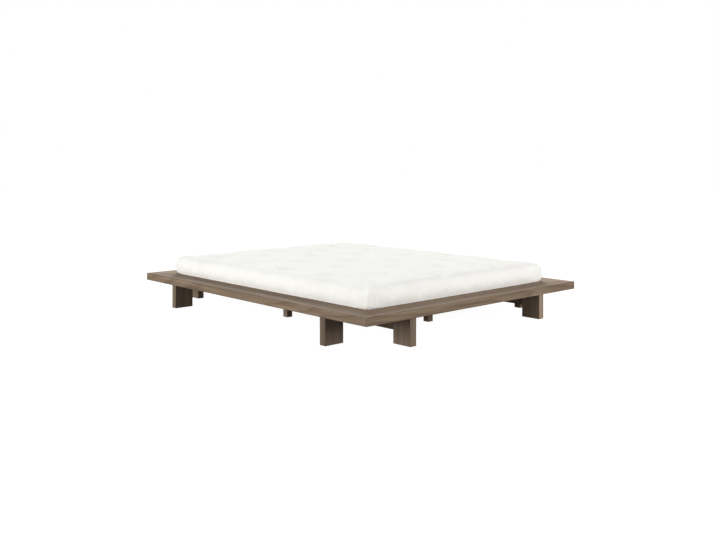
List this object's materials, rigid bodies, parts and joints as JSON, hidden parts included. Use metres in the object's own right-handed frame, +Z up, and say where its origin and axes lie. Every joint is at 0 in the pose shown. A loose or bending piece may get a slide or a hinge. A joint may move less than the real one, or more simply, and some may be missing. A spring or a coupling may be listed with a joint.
{
  "type": "futon bed",
  "caption": "Low wooden platform bed with a broad mitred ledge on set-back plank legs, and a loose tufted cotton futon in its slatted well.",
  "frame": {"origin": "on the floor, at the middle of the bed in plan", "axes": "+Y along the bed from foot to head, +X across it to the right, +Z up"},
  "size_m": [1.93, 2.33, 0.3475],
  "materials": {
    "stained_board": "satin",
    "stained_leg": "satin",
    "stained_bearer": "satin",
    "raw_slat": "matte",
    "plywood": "matte",
    "zinc_steel": "satin",
    "webbing": "matte",
    "cotton_cover": "matte",
    "foam_core": "matte",
    "cotton_tuft": "matte"
  },
  "bodies": {
    "frame": {"centre_post_foot": "stained_bearer", "centre_post_head": "stained_bearer", "centre_post_middle": "stained_bearer", "centre_rail": "stained_bearer", "corner_tongues": "plywood", "cross_bearer_foot": "stained_bearer", "cross_bearer_head": "stained_bearer", "foot_leg_left": "stained_leg", "foot_leg_right": "stained_leg", "head_leg_left": "stained_leg", "head_leg_right": "stained_leg", "ledge_board_foot": "stained_board", "ledge_board_head": "stained_board", "ledge_board_left": "stained_board", "ledge_board_right": "stained_board", "left_leg_foot": "stained_leg", "left_leg_head": "stained_leg", "long_bearer_left": "stained_bearer", "long_bearer_right": "stained_bearer", "mid_post_left": "stained_bearer", "mid_post_right": "stained_bearer", "mitre_bolts": "zinc_steel", "right_leg_foot": "stained_leg", "right_leg_head": "stained_leg", "slat_01": "raw_slat", "slat_02": "raw_slat", "slat_03": "raw_slat", "slat_04": "raw_slat", "slat_05": "raw_slat", "slat_06": "raw_slat", "slat_07": "raw_slat", "slat_08": "raw_slat", "slat_09": "raw_slat", "slat_10": "raw_slat", "slat_11": "raw_slat", "slat_12": "raw_slat", "slat_13": "raw_slat", "slat_14": "raw_slat", "slat_15": "raw_slat", "slat_tape_left": "webbing", "slat_tape_right": "webbing"},
    "futon": {"futon_cover": "cotton_cover", "futon_core": "foam_core", "futon_tufts": "cotton_tuft"}
  },
  "joints": [
    {"name": "futon_lift", "type": "slide", "parent": "frame", "child": "futon", "axis": [0, 0, 1], "range_m": [0, 0.25]}
  ]
}
